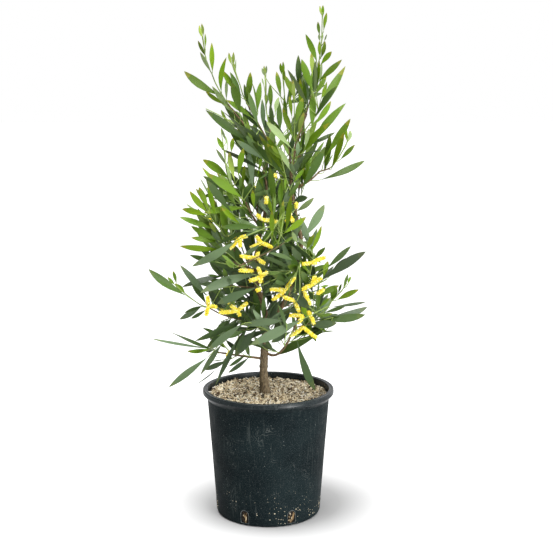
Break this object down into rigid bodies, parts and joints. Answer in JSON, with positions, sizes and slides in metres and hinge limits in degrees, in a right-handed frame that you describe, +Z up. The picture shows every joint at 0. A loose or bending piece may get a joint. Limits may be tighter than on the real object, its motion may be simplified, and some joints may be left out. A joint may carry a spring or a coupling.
{
  "type": "potted acacia",
  "caption": "Young acacia with long narrow leaves and small yellow flower spikes, forked near its foot and growing in a round black nursery pot.",
  "frame": {"origin": "middle of the pot's flat underside, on the surface that it stands on", "axes": "+Z up along the plant's height, +X to the right of the pictured view, -Y towards its viewer"},
  "size_m": [0.4143, 0.3321, 0.9705],
  "materials": {
    "pot_plastic": "matte black, slightly scuffed",
    "mulch": "rough",
    "bark": "rough",
    "leaf": "satin"
  },
  "bodies": {
    "root": {"back_left_bough": "bark", "back_left_foliage": "leaf", "back_low_foliage": "leaf", "back_low_left_bough": "bark", "back_low_left_foliage": "leaf", "back_low_right_bough": "bark", "back_low_right_foliage": "leaf", "back_middle_foliage": "leaf", "back_right_bough": "bark", "back_right_foliage": "leaf", "back_upper_left_foliage": "leaf", "back_upper_right_foliage": "leaf", "bright_foliage": "leaf", "centre_foliage": "leaf", "far_left_bough": "bark", "far_left_foliage": "leaf", "front_centre_foliage": "leaf", "front_left_foliage": "leaf", "front_low_foliage": "leaf", "front_right_foliage": "leaf", "front_upper_foliage": "leaf", "left_blade_foliage": "leaf", "left_fan_bough": "bark", "left_fan_foliage": "leaf", "left_fan_low_foliage": "leaf", "left_front_foliage": "leaf", "left_hanging_foliage": "leaf", "left_hanging_inner_foliage": "leaf", "left_low_foliage": "leaf", "left_middle_bough": "bark", "left_middle_foliage": "leaf", "left_shelf_foliage": "leaf", "left_spread_bough": "bark", "left_spread_foliage": "leaf", "left_spread_low_foliage": "leaf", "left_stem": "bark", "left_upper_foliage": "leaf", "low_left_bough": "bark", "low_left_foliage": "leaf", "low_right_foliage": "leaf", "lowest_left_bough": "bark", "lowest_left_foliage": "leaf", "mid_foliage": "leaf", "pale_foliage": "leaf", "pot": "pot_plastic", "potting_mix": "mulch", "right_blossom_bough": "bark", "right_blossom_foliage": "leaf", "right_middle_bough": "bark", "right_middle_foliage": "leaf", "right_reach_bough": "bark", "right_reach_foliage": "leaf", "right_shoulder_foliage": "leaf", "right_stem": "bark", "right_tip_foliage": "leaf", "sweep_bough": "bark", "sweep_foliage": "leaf", "top_foliage": "leaf", "trunk": "bark", "upper_right_foliage": "leaf"}
  },
  "joints": []
}
